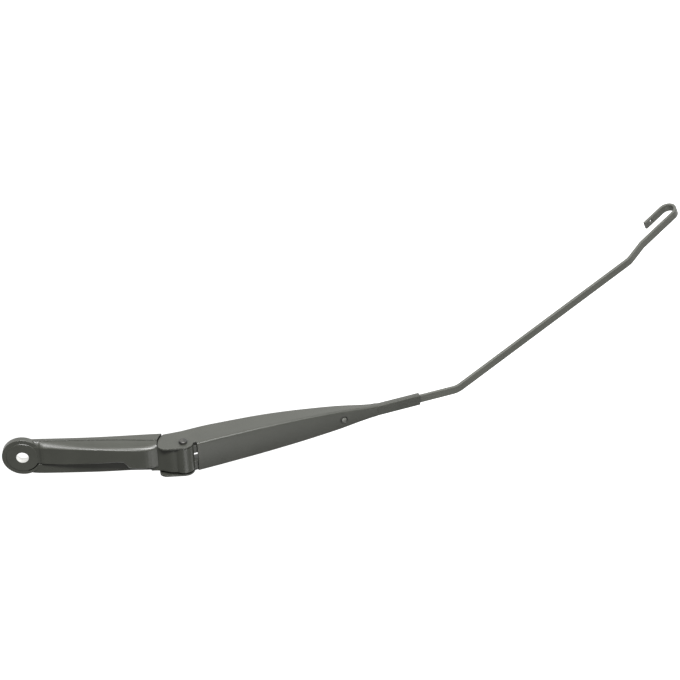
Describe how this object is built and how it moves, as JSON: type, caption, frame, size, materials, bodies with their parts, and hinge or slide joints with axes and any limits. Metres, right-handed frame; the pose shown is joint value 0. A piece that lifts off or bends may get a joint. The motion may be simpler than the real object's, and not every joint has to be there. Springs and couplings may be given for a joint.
{
  "type": "wiper arm",
  "caption": "Front wiper arm with a cast mounting head, a folding pressed channel, an over-centre spring and a flat rod that ends in a U-hook.",
  "frame": {"origin": "centre of the spindle bore's mouth, on the boss's outer face", "axes": "+Z along the spindle axis, away from the glass; +X along the head from the bore to the hinge; +Y along the hinge pin, to the side that the picture shows on top"},
  "size_m": [0.6795, 0.1342, 0.2688],
  "materials": {
    "painted_casting": "satin paint over a zinc die casting",
    "painted_steel": "satin paint over pressed steel",
    "dark_steel": "painted pin, slightly worn",
    "bush_bronze": "oiled sintered bronze",
    "plated_steel": "zinc plate, satin",
    "spring_steel": "zinc-plated spring wire"
  },
  "bodies": {
    "head": {"mounting_head": "painted_casting", "bush_near": "bush_bronze", "bush_far": "bush_bronze", "link_pin": "plated_steel"},
    "arm": {"channel": "painted_steel", "rod": "painted_steel", "rod_rivet": "painted_steel", "hinge_pin": "dark_steel"},
    "link": {"spring_link": "plated_steel", "tension_spring": "spring_steel"}
  },
  "joints": [
    {"name": "arm_fold", "type": "hinge", "parent": "head", "child": "arm", "pos_m": [0.1555, 0, 0.0065], "axis": [0, -1, 0], "range_deg": [0, 95], "deforming": ["tension_spring"]},
    {"name": "link_swing", "type": "hinge", "parent": "head", "child": "link", "pos_m": [0.1512, 0, 0.0001], "axis": [0, -1, 0], "range_deg": [0, 91]}
  ],
  "couplings": [
    {"joint": "link_swing", "follows": "arm_fold", "ratio": 0.9545}
  ]
}
